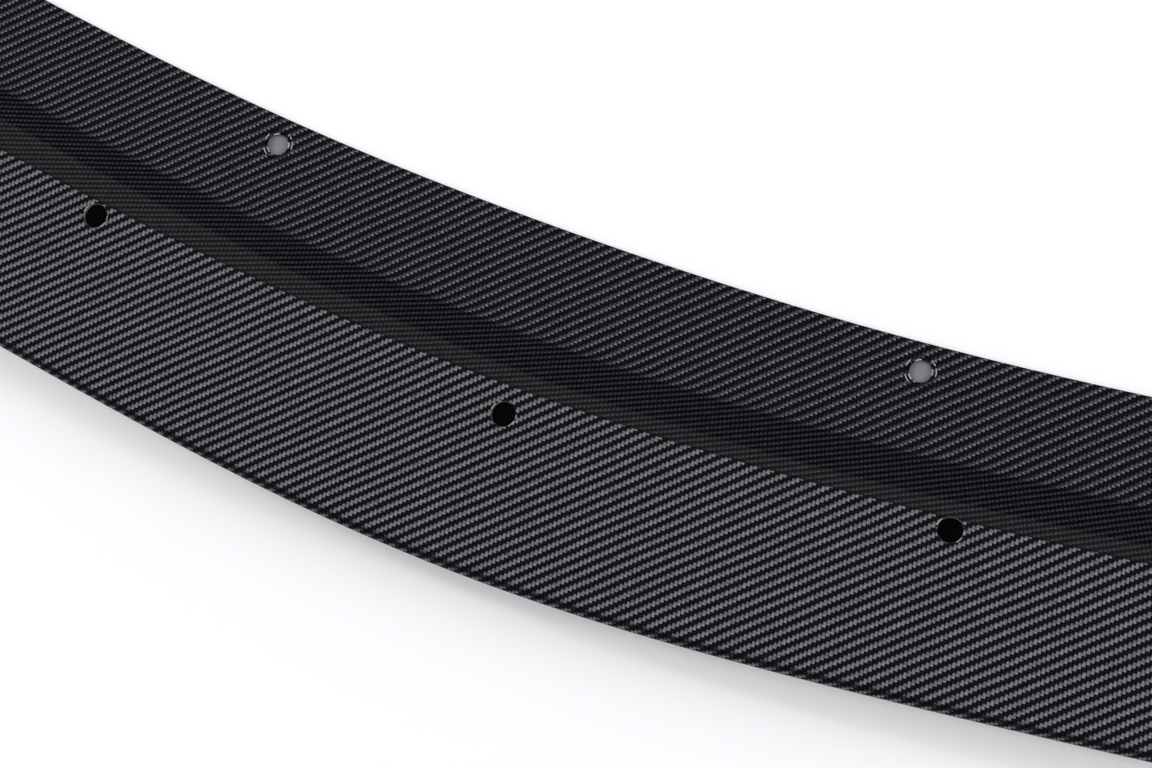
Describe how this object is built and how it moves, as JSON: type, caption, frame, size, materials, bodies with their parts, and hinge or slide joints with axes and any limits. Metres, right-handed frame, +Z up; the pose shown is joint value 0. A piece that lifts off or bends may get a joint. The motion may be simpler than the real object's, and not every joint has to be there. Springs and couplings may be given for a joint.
{
  "type": "front splitter lip",
  "caption": "One-piece carbon-fibre front splitter lip: a flat blade, a sloping step wall and a rear fixing flange swept round a bumper.",
  "frame": {"origin": "middle of the flange's underside, on the centreline, where the lip rests", "axes": "+X along the lip, +Y to the rear edge, +Z up from the surface that the flange rests on"},
  "size_m": [1.7808, 0.4503, 0.0555],
  "materials": {
    "carbon_laminate": "clear-coated 2x2 twill carbon-fibre laminate, near black"
  },
  "bodies": {
    "root": {"splitter_lip": "carbon_laminate"}
  },
  "joints": []
}
